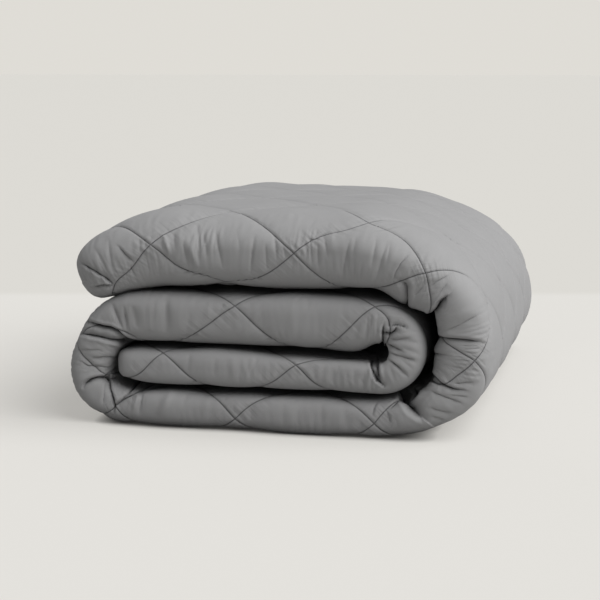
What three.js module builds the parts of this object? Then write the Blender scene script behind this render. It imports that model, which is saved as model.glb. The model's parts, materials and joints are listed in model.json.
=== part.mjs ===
// A quilted duvet, folded in half along its length and then rolled up into four layers.
// Millimetres, +Z up: the half fold faces -Y, the layers run along X, and the duvet lies on Z = 0.
import * as THREE from 'three';

// The strip: the duvet folded in half, two leaves joined at the front fold
const STRIP_DEPTH = 690; // front fold to the open edges at the back
const LEAF_GAP = 6; // air between the two leaves
const NOSE_DEPTH = 0.95; // depth of the rounded front fold for each half thickness
const NOSE_POWER = 0.7; // below 1 the front fold is fuller than a half circle
const EDGE_ROUND = 30; // stretch over which an open edge closes to its seam
const CORNER_ROUND = 50; // plan radius of the strip's front corners
const CORNER_PULL = 0.7; // share of that radius by which a front corner is drawn back

// The quilting: straight sewn lines that cross as diamonds, measured on the cloth
const DIAMOND = 186; // diagonal of a diamond, the same both ways
const CHANNEL_DEPTH = 8; // how far a sewn line draws the cover in
const HALF_WIDTH = 720; // cloth from the front fold to an open edge

// The duvet sinks a little into its own filling where it lies on the ground
const GROUND_SINK = 2.5;

// Slow unevenness of the whole stack: it is lower at the back, waves a little along its layers, and leans
// more to the left the higher it is
const BACK_DROP = 0.05; // share of the height
const SWAY = { reach: 6, depthWave: 190, heightShare: 0.012, lengthWave: 140 };
const LEAN = { reach: 18, height: 170 }; // sideways reach at the back, and the height that keeps its place

// The roll, seen from the front, from its inner end to its free end on top. Each leg is a straight layer
// or a turn to the left: its length, the angle it turns by in degrees, and at its far end the strip's half
// thickness on the outside and on the inside of the roll, how far the front fold lies behind the foremost
// point, and how deep the fold's outer side is for each half thickness.
const ROLL_START = { x: -187, z: 82.5, half: 16, inner: 16, front: 10, crown: 1 };
const ROLL = [
  { leg: 'inner end', length: 44, turn: 0, half: 25.5, inner: 25.5, front: 6, crown: 1 },
  { leg: 'lower middle layer, left', length: 100, turn: 0, half: 26.5, inner: 25.5, front: 4, crown: 1 },
  { leg: 'lower middle layer', length: 150, turn: 0, half: 26.5, inner: 21, front: 4, crown: 1 },
  { leg: 'lower middle layer, right', length: 60, turn: 0, half: 26.5, inner: 16, front: 4, crown: 1 },
  { leg: 'inner turn', length: 105, turn: 180, half: 30.5, inner: 36, front: 6, crown: 1.1 },
  { leg: 'upper middle layer, right', length: 30, turn: 0, half: 34.5, inner: 44, front: 6, crown: 1 },
  { leg: 'upper middle layer', length: 130, turn: 0, half: 34.5, inner: 38, front: 6, crown: 1 },
  { leg: 'upper middle layer, left', length: 157, turn: 0, half: 34.5, inner: 36, front: 5, crown: 1 },
  { leg: 'left turn, shoulder', length: 55, turn: 45, half: 31, inner: 31, front: 6, crown: 1.1 },
  { leg: 'left turn, side', length: 59, turn: 45, half: 28.5, inner: 29, front: 8, crown: 1.2 },
  { leg: 'left turn, heel', length: 50, turn: 60, half: 27.5, inner: 28, front: 7, crown: 1.2 },
  { leg: 'left turn, foot', length: 33, turn: 30, half: 27, inner: 27, front: 5, crown: 1.1 },
  { leg: 'bottom layer', length: 324, turn: 0, half: 28, inner: 27.5, front: 3, crown: 1 },
  { leg: 'big turn, heel', length: 81, turn: 30, half: 29, inner: 27, front: 4, crown: 1.05 },
  { leg: 'big turn, lower side', length: 39, turn: 30, half: 40, inner: 36, front: 5, crown: 1.1 },
  { leg: 'big turn, middle side', length: 39, turn: 30, half: 38.5, inner: 42, front: 5, crown: 1.1 },
  { leg: 'big turn, side', length: 8, turn: 0, half: 38.5, inner: 39, front: 5, crown: 1.1 },
  { leg: 'big turn, upper side', length: 55, turn: 30, half: 40, inner: 30, front: 4, crown: 1.25 },
  { leg: 'big turn, shoulder', length: 55, turn: 30, half: 40, inner: 40, front: 3, crown: 1.5 },
  { leg: 'big turn, crest', length: 40, turn: 11, half: 42, inner: 42, front: 2.5, crown: 1.8 },
  { leg: 'big turn, end', length: 70, turn: 19, half: 47, inner: 50, front: 2, crown: 2.1 },
  { leg: 'top layer', length: 210, turn: 0, half: 48.5, inner: 51, front: 0, crown: 1.7 },
  { leg: 'droop', length: 104, turn: 30, half: 50, inner: 38, front: 2, crown: 1.5 },
  { leg: 'free end', length: 52, turn: 0, half: 38, inner: 29, front: 8, crown: 1.2 },
];

// Places where two sewn lines cross beside the front fold: how far along the roll, and how far the
// crossing has drifted from the middle of the fold, to the outside of the roll where positive
const CROSSINGS = [
  { layer: 'lower middle', along: 71, drift: -36 },
  { layer: 'lower middle', along: 249, drift: -13 },
  { layer: 'upper middle', along: 463, drift: 27 },
  { layer: 'upper middle', along: 644, drift: 20 },
  { layer: 'left turn', along: 858, drift: 36 },
  { layer: 'left turn', along: 958, drift: -1 },
  { layer: 'bottom', along: 1121, drift: 7 },
  { layer: 'bottom', along: 1303, drift: 3 },
  { layer: 'big turn', along: 1453, drift: 12 },
  { layer: 'big turn', along: 1571, drift: 8 },
  { layer: 'top', along: 1738, drift: -2 },
  { layer: 'top', along: 1925, drift: 10 },
];

// Fineness of the surface
const CELLS_PER_DIAMOND = 6;
const LARGEST_TURN_STEP = 20.2; // degrees between neighbouring columns
const EDGE_STEPS = [0, 6, 19]; // distances from an open edge at which its rounding is followed
const INNER_STRIDE = 3; // the hidden faces between the leaves keep every third column and row

const CLOTH = new THREE.MeshStandardMaterial({ color: 0x8a8b8d, roughness: 0.9, metalness: 0 });

const ROLL_LENGTH = ROLL.reduce((sum, row) => sum + row.length, 0);
const radians = THREE.MathUtils.degToRad;

// Position and heading of the roll's centre line at a distance along it, and the strip's measures there
function stationAt(along) {
  let { x, z, half, inner, front, crown } = ROLL_START;
  let heading = 0;
  let left = along;
  for (const row of ROLL) {
    const run = Math.min(left, row.length);
    const share = run / row.length;
    const turned = radians(row.turn) * share;
    const chord = turned === 0 ? run : (2 * run * Math.sin(turned / 2)) / turned;
    x += chord * Math.cos(heading + turned / 2);
    z += chord * Math.sin(heading + turned / 2);
    heading += turned;
    half = THREE.MathUtils.lerp(half, row.half, share);
    inner = THREE.MathUtils.lerp(inner, row.inner, share);
    front = THREE.MathUtils.lerp(front, row.front, share);
    crown = THREE.MathUtils.lerp(crown, row.crown, share);
    left -= run;
    if (left <= 0) break;
  }
  return { x, z, heading, half, inner, front, crown };
}

// Number of diamonds passed at a distance along the roll, and the drift of the crossings there
function quiltAt(along) {
  const last = CROSSINGS.length - 1;
  if (along <= CROSSINGS[0].along) {
    return { count: (along - CROSSINGS[0].along) / DIAMOND, drift: CROSSINGS[0].drift };
  }
  if (along >= CROSSINGS[last].along) {
    return { count: last + (along - CROSSINGS[last].along) / DIAMOND, drift: CROSSINGS[last].drift };
  }
  const next = CROSSINGS.findIndex((row) => row.along > along);
  const before = CROSSINGS[next - 1];
  const share = (along - before.along) / (CROSSINGS[next].along - before.along);
  return { count: next - 1 + share, drift: THREE.MathUtils.lerp(before.drift, CROSSINGS[next].drift, share) };
}

// Distance along the roll at which a number of diamonds has been passed
function alongAt(count) {
  const last = CROSSINGS.length - 1;
  if (count <= 0) return CROSSINGS[0].along + count * DIAMOND;
  if (count >= last) return CROSSINGS[last].along + (count - last) * DIAMOND;
  const before = Math.floor(count);
  return THREE.MathUtils.lerp(CROSSINGS[before].along, CROSSINGS[before + 1].along, count - before);
}

// 0 on a sewn line, 1 in the middle of a diamond
function puff(count, row) {
  return Math.abs(Math.sin(Math.PI * (count + row)) * Math.sin(Math.PI * (count - row)));
}

// 0 at an open edge, 1 where its rounding ends, as a quarter circle
function roundOff(distance) {
  const rest = 1 - Math.min(1, distance / EDGE_ROUND);
  return Math.sqrt(1 - rest * rest);
}

// Point of the duvet at a distance along the roll and a row of the quilting, which is 0 at the front fold,
// positive on the outer leaf and negative on the inner one. The outer face is the cover that shows, the
// inner face the one between the leaves.
function duvetPoint(along, row, isOuter) {
  const { x, z, heading, half, inner, front, crown } = stationAt(along);
  const { count, drift } = quiltAt(along);
  const rowShare = (row * DIAMOND) / HALF_WIDTH;
  const across = row * DIAMOND + drift * (1 - rowShare * rowShare);
  const thick = across > 0 ? half : inner;
  const nose = NOSE_DEPTH * thick * (across > 0 ? crown : 1);
  const noseArc = (Math.PI / 2) * Math.sqrt((thick * thick + nose * nose) / 2);
  const angle = (Math.PI / 2) * Math.min(1, Math.abs(across) / noseArc);

  const toEnd = Math.min(along, ROLL_LENGTH - along);
  const toEdge = HALF_WIDTH - Math.abs(row * DIAMOND);
  const full = roundOff(toEnd) * roundOff(toEdge);
  const middle = (thick + LEAF_GAP / 2) / 2;
  const drawn = CHANNEL_DEPTH * (1 - puff(count, row)) ** 2;
  const offset = isOuter ? middle + (thick - drawn - middle) * full : middle - (middle - LEAF_GAP / 2) * full;

  const corner = Math.max(0, 1 - toEnd / CORNER_ROUND);
  const setBack = front + CORNER_PULL * CORNER_ROUND * (1 - Math.sqrt(1 - corner * corner));
  const side = Math.sign(across) * offset * Math.sin(angle) ** NOSE_POWER;
  const reach = Math.max(0, Math.abs(across) - noseArc) / (HALF_WIDTH - noseArc);
  const inFromFront = angle < Math.PI / 2
    ? nose - (nose * offset * Math.cos(angle) ** NOSE_POWER) / thick + setBack
    : THREE.MathUtils.lerp(nose + setBack, STRIP_DEPTH, reach);

  const flatZ = Math.max(0, z - side * Math.cos(heading) - GROUND_SINK);
  const flatX = x + side * Math.sin(heading);
  const wave = SWAY.heightShare * Math.sin(flatX / SWAY.lengthWave + inFromFront / SWAY.depthWave);
  const height = flatZ * (1 + wave - BACK_DROP * (inFromFront / STRIP_DEPTH) ** 2);
  const sway = SWAY.reach * Math.sin(inFromFront / SWAY.depthWave) * (flatZ / STRIP_DEPTH);
  const backward = Math.sin(((inFromFront / STRIP_DEPTH) * Math.PI) / 2);
  const lean = LEAN.reach * backward * (1 - flatZ / LEAN.height);
  return new THREE.Vector3(flatX + sway + lean, inFromFront, height);
}

// Distances along the roll at which the surface has its columns: the quilting's cells, closer in turns
function columns() {
  const ends = [...EDGE_STEPS, ...EDGE_STEPS.map((step) => ROLL_LENGTH - step)];
  const first = Math.ceil(quiltAt(EDGE_ROUND).count * CELLS_PER_DIAMOND);
  const last = Math.floor(quiltAt(ROLL_LENGTH - EDGE_ROUND).count * CELLS_PER_DIAMOND);
  const cells = [];
  for (let cell = first; cell <= last; cell += 1) cells.push(alongAt(cell / CELLS_PER_DIAMOND));
  const coarse = [...ends, ...cells].sort((a, b) => a - b);
  const fine = [coarse[0]];
  for (const along of coarse.slice(1)) {
    const start = fine[fine.length - 1];
    const turned = stationAt(along).heading - stationAt(start).heading;
    const steps = Math.max(1, Math.ceil(turned / radians(LARGEST_TURN_STEP)));
    for (let step = 1; step <= steps; step += 1) fine.push(start + ((along - start) * step) / steps);
  }
  return fine;
}

// Rows of the surface from the open edge of the inner leaf round the front fold to that of the outer leaf
function rows() {
  const edge = HALF_WIDTH / DIAMOND;
  const last = Math.floor((edge - EDGE_ROUND / DIAMOND) * CELLS_PER_DIAMOND);
  const outward = EDGE_STEPS.map((step) => edge - step / DIAMOND).reverse();
  const cells = [];
  for (let cell = -last; cell <= last; cell += 1) cells.push(cell / CELLS_PER_DIAMOND);
  return [...outward.map((row) => -row).reverse(), ...cells, ...outward];
}

// The closed surface: a fine outer skin and a coarse inner one that share their border
class DuvetSkin {
  constructor() {
    this.points = [];
    this.triangles = [];
    this.alongs = columns();
    this.rows = rows();
    this.outer = this.alongs.map((along) => this.rows.map((row) => this.add(duvetPoint(along, row, true))));
    this.coverOuter();
    this.coverInner();
  }

  add(point) {
    this.points.push(point);
    return this.points.length - 1;
  }

  // Each cell is split along the sewn line that crosses it, so the channels are edges of the surface
  coverOuter() {
    for (let c = 0; c + 1 < this.alongs.length; c += 1) {
      for (let r = 0; r + 1 < this.rows.length; r += 1) {
        const count = (quiltAt(this.alongs[c]).count + quiltAt(this.alongs[c + 1]).count) / 2;
        const row = (this.rows[r] + this.rows[r + 1]) / 2;
        const toFalling = Math.abs(Math.sin(Math.PI * (count - row)));
        const toRising = Math.abs(Math.sin(Math.PI * (count + row)));
        const [a, b] = [this.outer[c][r], this.outer[c + 1][r]];
        const [d, e] = [this.outer[c][r + 1], this.outer[c + 1][r + 1]];
        if (toFalling < toRising) this.triangles.push([a, e, b], [a, d, e]);
        else this.triangles.push([a, d, b], [b, d, e]);
      }
    }
  }

  coverInner() {
    const lastColumn = this.alongs.length - 1;
    const lastRow = this.rows.length - 1;
    const inset = EDGE_STEPS.length;
    const kept = (last) => {
      const inside = [];
      for (let i = inset; i <= last - inset; i += INNER_STRIDE) inside.push(i);
      if (inside[inside.length - 1] !== last - inset) inside.push(last - inset);
      return inside;
    };
    const keptColumns = kept(lastColumn);
    const keptRows = kept(lastRow);
    const inner = keptColumns.map((c) =>
      keptRows.map((r) => this.add(duvetPoint(this.alongs[c], this.rows[r], false))));
    for (let c = 0; c + 1 < keptColumns.length; c += 1) {
      for (let r = 0; r + 1 < keptRows.length; r += 1) {
        const [a, b] = [inner[c][r], inner[c + 1][r]];
        const [d, e] = [inner[c][r + 1], inner[c + 1][r + 1]];
        this.triangles.push([a, b, e], [a, e, d]);
      }
    }
    const lastKept = { column: keptColumns.length - 1, row: keptRows.length - 1 };
    const allColumns = this.alongs.map((_, c) => c);
    const allRows = this.rows.map((_, r) => r);
    this.zip(allColumns, (c) => this.outer[c][0], keptColumns, (i) => inner[i][0], false);
    this.zip(allColumns, (c) => this.outer[c][lastRow], keptColumns, (i) => inner[i][lastKept.row], true);
    this.zip(allRows, (r) => this.outer[0][r], keptRows, (i) => inner[0][i], true);
    this.zip(allRows, (r) => this.outer[lastColumn][r], keptRows, (i) => inner[lastKept.column][i], false);
  }

  // Joins a border of the outer skin to the matching border of the inner skin, which has fewer points
  zip(borderPlaces, borderId, innerPlaces, innerId, isFlipped) {
    const push = (a, b, c) => this.triangles.push(isFlipped ? [a, b, c] : [a, c, b]);
    let inner = 0;
    for (let i = 0; i < borderPlaces.length; i += 1) {
      const isLast = i + 1 === borderPlaces.length;
      while (inner + 1 < innerPlaces.length && (isLast || innerPlaces[inner + 1] <= borderPlaces[i])) {
        push(borderId(i), innerId(inner), innerId(inner + 1));
        inner += 1;
      }
      if (!isLast) push(borderId(i), innerId(inner), borderId(i + 1));
    }
  }

  geometry() {
    const geometry = new THREE.BufferGeometry().setFromPoints(this.points);
    geometry.setIndex(this.triangles.flat());
    geometry.computeBoundingBox();
    const { min, max } = geometry.boundingBox;
    geometry.translate(-(min.x + max.x) / 2, -(min.y + max.y) / 2, -min.z);
    geometry.computeVertexNormals();
    return geometry;
  }
}

const duvet = new THREE.Mesh(new DuvetSkin().geometry(), CLOTH);
duvet.name = 'duvet';

const part = new THREE.Group();
part.add(duvet);

export default part;
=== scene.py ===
"""Looks of a folded quilted duvet: its cloth, its sewn lines, the light and the camera.

Metres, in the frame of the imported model: the half fold faces -Y, the layers run along X and +Z is up.
The surface is laid out on the cloth itself: a count of diamonds along the roll and a row of diamonds
across it, which is 0 at the front fold, positive on the outer leaf and negative on the inner one.
"""
import json
import math
from collections import namedtuple

import bpy
import numpy as np
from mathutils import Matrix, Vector

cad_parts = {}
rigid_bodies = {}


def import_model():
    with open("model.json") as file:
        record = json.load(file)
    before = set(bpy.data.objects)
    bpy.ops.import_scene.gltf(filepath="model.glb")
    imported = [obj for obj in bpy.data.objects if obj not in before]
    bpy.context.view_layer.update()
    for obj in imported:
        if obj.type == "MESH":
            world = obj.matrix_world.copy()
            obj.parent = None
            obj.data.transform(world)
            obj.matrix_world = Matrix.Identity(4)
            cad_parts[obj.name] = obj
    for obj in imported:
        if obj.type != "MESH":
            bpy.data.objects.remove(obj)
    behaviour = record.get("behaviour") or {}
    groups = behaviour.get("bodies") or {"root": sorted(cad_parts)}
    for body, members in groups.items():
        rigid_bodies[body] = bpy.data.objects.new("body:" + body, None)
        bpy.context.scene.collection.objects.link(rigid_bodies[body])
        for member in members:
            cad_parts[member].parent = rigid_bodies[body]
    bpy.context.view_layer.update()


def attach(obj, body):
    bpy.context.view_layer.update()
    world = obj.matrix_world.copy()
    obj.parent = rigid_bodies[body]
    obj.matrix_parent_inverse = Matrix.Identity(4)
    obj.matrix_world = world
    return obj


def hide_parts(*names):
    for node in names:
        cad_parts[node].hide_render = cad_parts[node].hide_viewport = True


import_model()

# The strip, which is the duvet folded in half, two leaves joined at the front fold: its depth, the gap of
# the leaves, how round its fold, edges, ends and corners are, and how its layers sink, drop, lean and sway
STRIP_DEPTH = 0.690
LEAF_GAP = 0.006
FOLD_SAMPLES = 60
NOSE_POWER = 0.74
CROWN_ROUNDING = 0.4
INNER_ROUNDING = 0.06
EDGE_ROUND = 0.030
INNER_END_ROUND = 0.018
FREE_END_ROUND = 0.042
INNER_CORNER_ROUND = 0.030
FREE_CORNER_ROUND = 0.050
CORNER_PULL = 0.7
GROUND_SINK = 0.0025
BACK_DROP = 0.05
LEAN = 0.018
LEAN_HEIGHT = 0.170
SWAY_REACH = 0.006
SWAY_DEPTH_WAVE = 0.190
SWAY_HEIGHT_SHARE = 0.012
SWAY_LENGTH_WAVE = 0.140

# The roll from its inner end to its free end on top: each leg's length and turn to the left in degrees,
# and at its far end the half thickness on the outside and on the inside of the roll, the setback of the
# front fold, and how deep the fold's outer side is for each half thickness
Leg = namedtuple("Leg", "name length turn half inner front crown")
ROLL_START = Leg("start", 0.0, 0, 0.021, 0.021, 0.010, 1.0)
ROLL_START_X = -0.187
ROLL_START_Z = 0.0825
ROLL = [
    Leg("inner end", 0.044, 0, 0.0262, 0.0285, 0.006, 1.0),
    Leg("lower middle layer, left", 0.100, 0, 0.0272, 0.0280, 0.004, 1.0),
    Leg("lower middle layer", 0.150, 0, 0.0272, 0.0215, 0.004, 1.0),
    Leg("lower middle layer, right", 0.060, 0, 0.0272, 0.016, 0.004, 1.0),
    Leg("inner turn, lower half", 0.0525, 90, 0.0288, 0.0325, 0.006, 1.05),
    Leg("inner turn, upper half", 0.0525, 90, 0.0305, 0.029, 0.006, 1.1),
    Leg("upper middle layer, right", 0.030, 0, 0.0345, 0.046, 0.006, 1.0),
    Leg("upper middle layer", 0.130, 0, 0.0345, 0.0395, 0.006, 1.0),
    Leg("upper middle layer, left", 0.157, 0, 0.0345, 0.0405, 0.005, 1.0),
    Leg("left turn, shoulder", 0.055, 45, 0.031, 0.035, 0.006, 1.1),
    Leg("left turn, side", 0.059, 45, 0.0285, 0.0335, 0.008, 1.2),
    Leg("left turn, heel", 0.050, 60, 0.0275, 0.032, 0.007, 1.2),
    Leg("left turn, foot", 0.033, 30, 0.027, 0.028, 0.005, 1.1),
    Leg("bottom layer", 0.324, 0, 0.028, 0.0283, 0.003, 1.0),
    Leg("big turn, heel", 0.081, 30, 0.029, 0.028, 0.004, 1.05),
    Leg("big turn, lower side", 0.039, 30, 0.040, 0.038, 0.005, 1.1),
    Leg("big turn, middle side", 0.039, 30, 0.0385, 0.044, 0.005, 1.1),
    Leg("big turn, side", 0.008, 0, 0.0385, 0.040, 0.005, 1.1),
    Leg("big turn, upper side", 0.055, 30, 0.040, 0.030, 0.004, 1.25),
    Leg("big turn, shoulder", 0.055, 30, 0.040, 0.052, 0.003, 1.5),
    Leg("big turn, crest", 0.040, 11, 0.042, 0.046, 0.0025, 1.8),
    Leg("big turn, end", 0.070, 19, 0.047, 0.056, 0.002, 2.1),
    Leg("top layer", 0.210, 0, 0.0485, 0.0535, 0.0, 1.7),
    Leg("droop", 0.104, 30, 0.050, 0.047, 0.002, 1.5),
    Leg("free end", 0.052, 0, 0.041, 0.038, 0.008, 1.2),
]
ROLL_LENGTH = sum(leg.length for leg in ROLL)

# Where the strip's own origin lies in the frame, and how finely and smoothly the roll is sampled
PLACE = (-0.0318, -0.3453, 0.0)
ROLL_STEP = 0.001
THICKNESS_BLUR = 0.020

# Crossings of the sewn lines beside the front fold: distance along the roll, and drift off the fold
DIAMOND = 0.186
HALF_WIDTH = 0.720
Crossing = namedtuple("Crossing", "layer along drift")
CROSSINGS = [
    Crossing("lower middle", 0.071, -0.036),
    Crossing("lower middle", 0.249, -0.013),
    Crossing("upper middle", 0.463, 0.027),
    Crossing("upper middle", 0.644, 0.020),
    Crossing("left turn", 0.858, 0.036),
    Crossing("left turn", 0.958, -0.001),
    Crossing("bottom", 1.121, 0.007),
    Crossing("bottom", 1.303, 0.003),
    Crossing("big turn", 1.453, 0.012),
    Crossing("big turn", 1.571, 0.008),
    Crossing("top", 1.738, -0.002),
    Crossing("top", 1.925, 0.010),
]

# Places where the sewn lines are pulled off their straight run: the diamond and row there, how far the
# cloth is pulled along the roll and towards the outer leaf, and over how many diamonds the pull fades
Pull = namedtuple("Pull", "place count row along across reach")
PULLS = [
    Pull("top, under its middle", 10.55, -0.50, 0.0, 0.036, 0.30),
    Pull("top, over its right part", 9.60, 0.45, 0.0, -0.034, 0.30),
    Pull("free end, below", 11.40, -0.40, 0.0, 0.030, 0.26),
    Pull("free end, above", 11.30, 0.30, 0.0, 0.024, 0.26),
    Pull("inner end", -0.15, 0.15, 0.0, 0.015, 0.30),
    Pull("inner turn, above", 1.70, -0.30, 0.020, 0.0, 0.22),
    Pull("left turn, inside", 4.50, -0.50, 0.0, 0.034, 0.30),
    Pull("big turn, inside", 7.70, -0.30, 0.0, 0.028, 0.24),
    Pull("big turn, outside", 7.85, 0.15, 0.0, 0.016, 0.20),
    Pull("big turn, below its end", 8.75, -0.25, -0.010, 0.010, 0.22),
]

# Fineness of the surface: cells along and across for each diamond, the stretches of the roll that have
# every column, those whose outside or inside shows, how far from the fold the kinds of rows reach in cells,
# the strides of rows where it is coarser, and where the lining ends and the open edges have their rows
COLUMN_CELLS = 144
ROW_CELLS = 72
CELL_RATIO = COLUMN_CELLS // ROW_CELLS
HALF_CELL = 0.5
FINE_STRETCHES = [(0.335, 0.475), (0.785, 0.860), (0.955, 1.000), (1.330, 2.100)]
OPEN_STRETCHES = [(0.690, 1.010), (1.320, 2.100)]
INSIDE_STRETCHES = [(0.335, 0.475), (0.785, 1.010), (1.320, 1.620), (1.930, 2.100)]
CORE_ROWS = 18
FOLD_ROWS = 31
NEAR_ROWS = 72
NEAR_STRIDE = 2
FAR_STRIDE = 3
SIDE_STRIDE = 4
HIDDEN_STRIDE = 6
LINING_STRIDE = 12
LINING_INSET = 0.020
EDGE_STEPS = [0.0, 0.0015, 0.005, 0.011, 0.018]

# Columns that each kind of row keeps: their stride in some stretches and elsewhere, where 0 keeps them all
KEPT_COLUMNS = {
    "core": (0, 0, OPEN_STRETCHES),
    "outer side": (1, SIDE_STRIDE, OPEN_STRETCHES),
    "inner side": (0, SIDE_STRIDE, INSIDE_STRETCHES),
    "near": (NEAR_STRIDE, HIDDEN_STRIDE, OPEN_STRETCHES),
    "far": (FAR_STRIDE, HIDDEN_STRIDE, OPEN_STRETCHES),
    "hidden": (HIDDEN_STRIDE, HIDDEN_STRIDE, OPEN_STRETCHES),
    "edge": (FAR_STRIDE, FAR_STRIDE, OPEN_STRETCHES),
    "lining": (LINING_STRIDE, LINING_STRIDE, OPEN_STRETCHES),
}

# Layout of the cloth for baked textures: quilting rows and where they lie in the unit square
BAKE_MARGIN = 0.004
BAKE_ROWS = [(-3.88, 0.004), (-0.44, 0.10), (0.44, 0.50), (1.0, 0.66), (3.88, 0.93)]
BAKE_LINING = (0.94, 0.996)

# Relief of the quilting: how far a sewn line draws the cover in, softly and in its own narrow groove, and
# how deep and wide the soft dents between the lines are
PILLOW_DEPTH = 0.0056
PILLOW_REACH = 0.020
PILLOW_FLATTENING = 0.15
PILLOW_FLAT_ROW = 1.2
GROOVE_DEPTH = 0.0012
GROOVE_REACH = 0.0012
DENT_DEPTH = 0.0025
DENT_SIZE = 0.030

# Camera, which also says where a pixel of the photograph lies on the cloth
CAMERA_AZIMUTH = math.radians(12.5)
CAMERA_ELEVATION = math.radians(9.1)
CAMERA_LEVEL = (-math.sin(CAMERA_AZIMUTH), math.cos(CAMERA_AZIMUTH), 0.0)
CAMERA_PLACE = (0.4332, -2.1253, 0.469)
LENS = 88.5
SENSOR = 36.0
PHOTO_SIZE = 600
UPRIGHT = np.array([0.0, 0.0, 1.0])

# Layers of the roll, as stretches along it, and the length over which they fade out
LAYERS = {
    "lower middle": (0.0, 0.36),
    "inner turn": (0.30, 0.50),
    "upper middle": (0.44, 0.82),
    "left turn": (0.74, 1.06),
    "bottom": (0.98, 1.375),
    "big turn": (1.29, 1.56),
    "top": (1.49, 1.95),
    "free end": (1.88, 2.10),
}
LAYER_BLEND = 0.010

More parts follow.
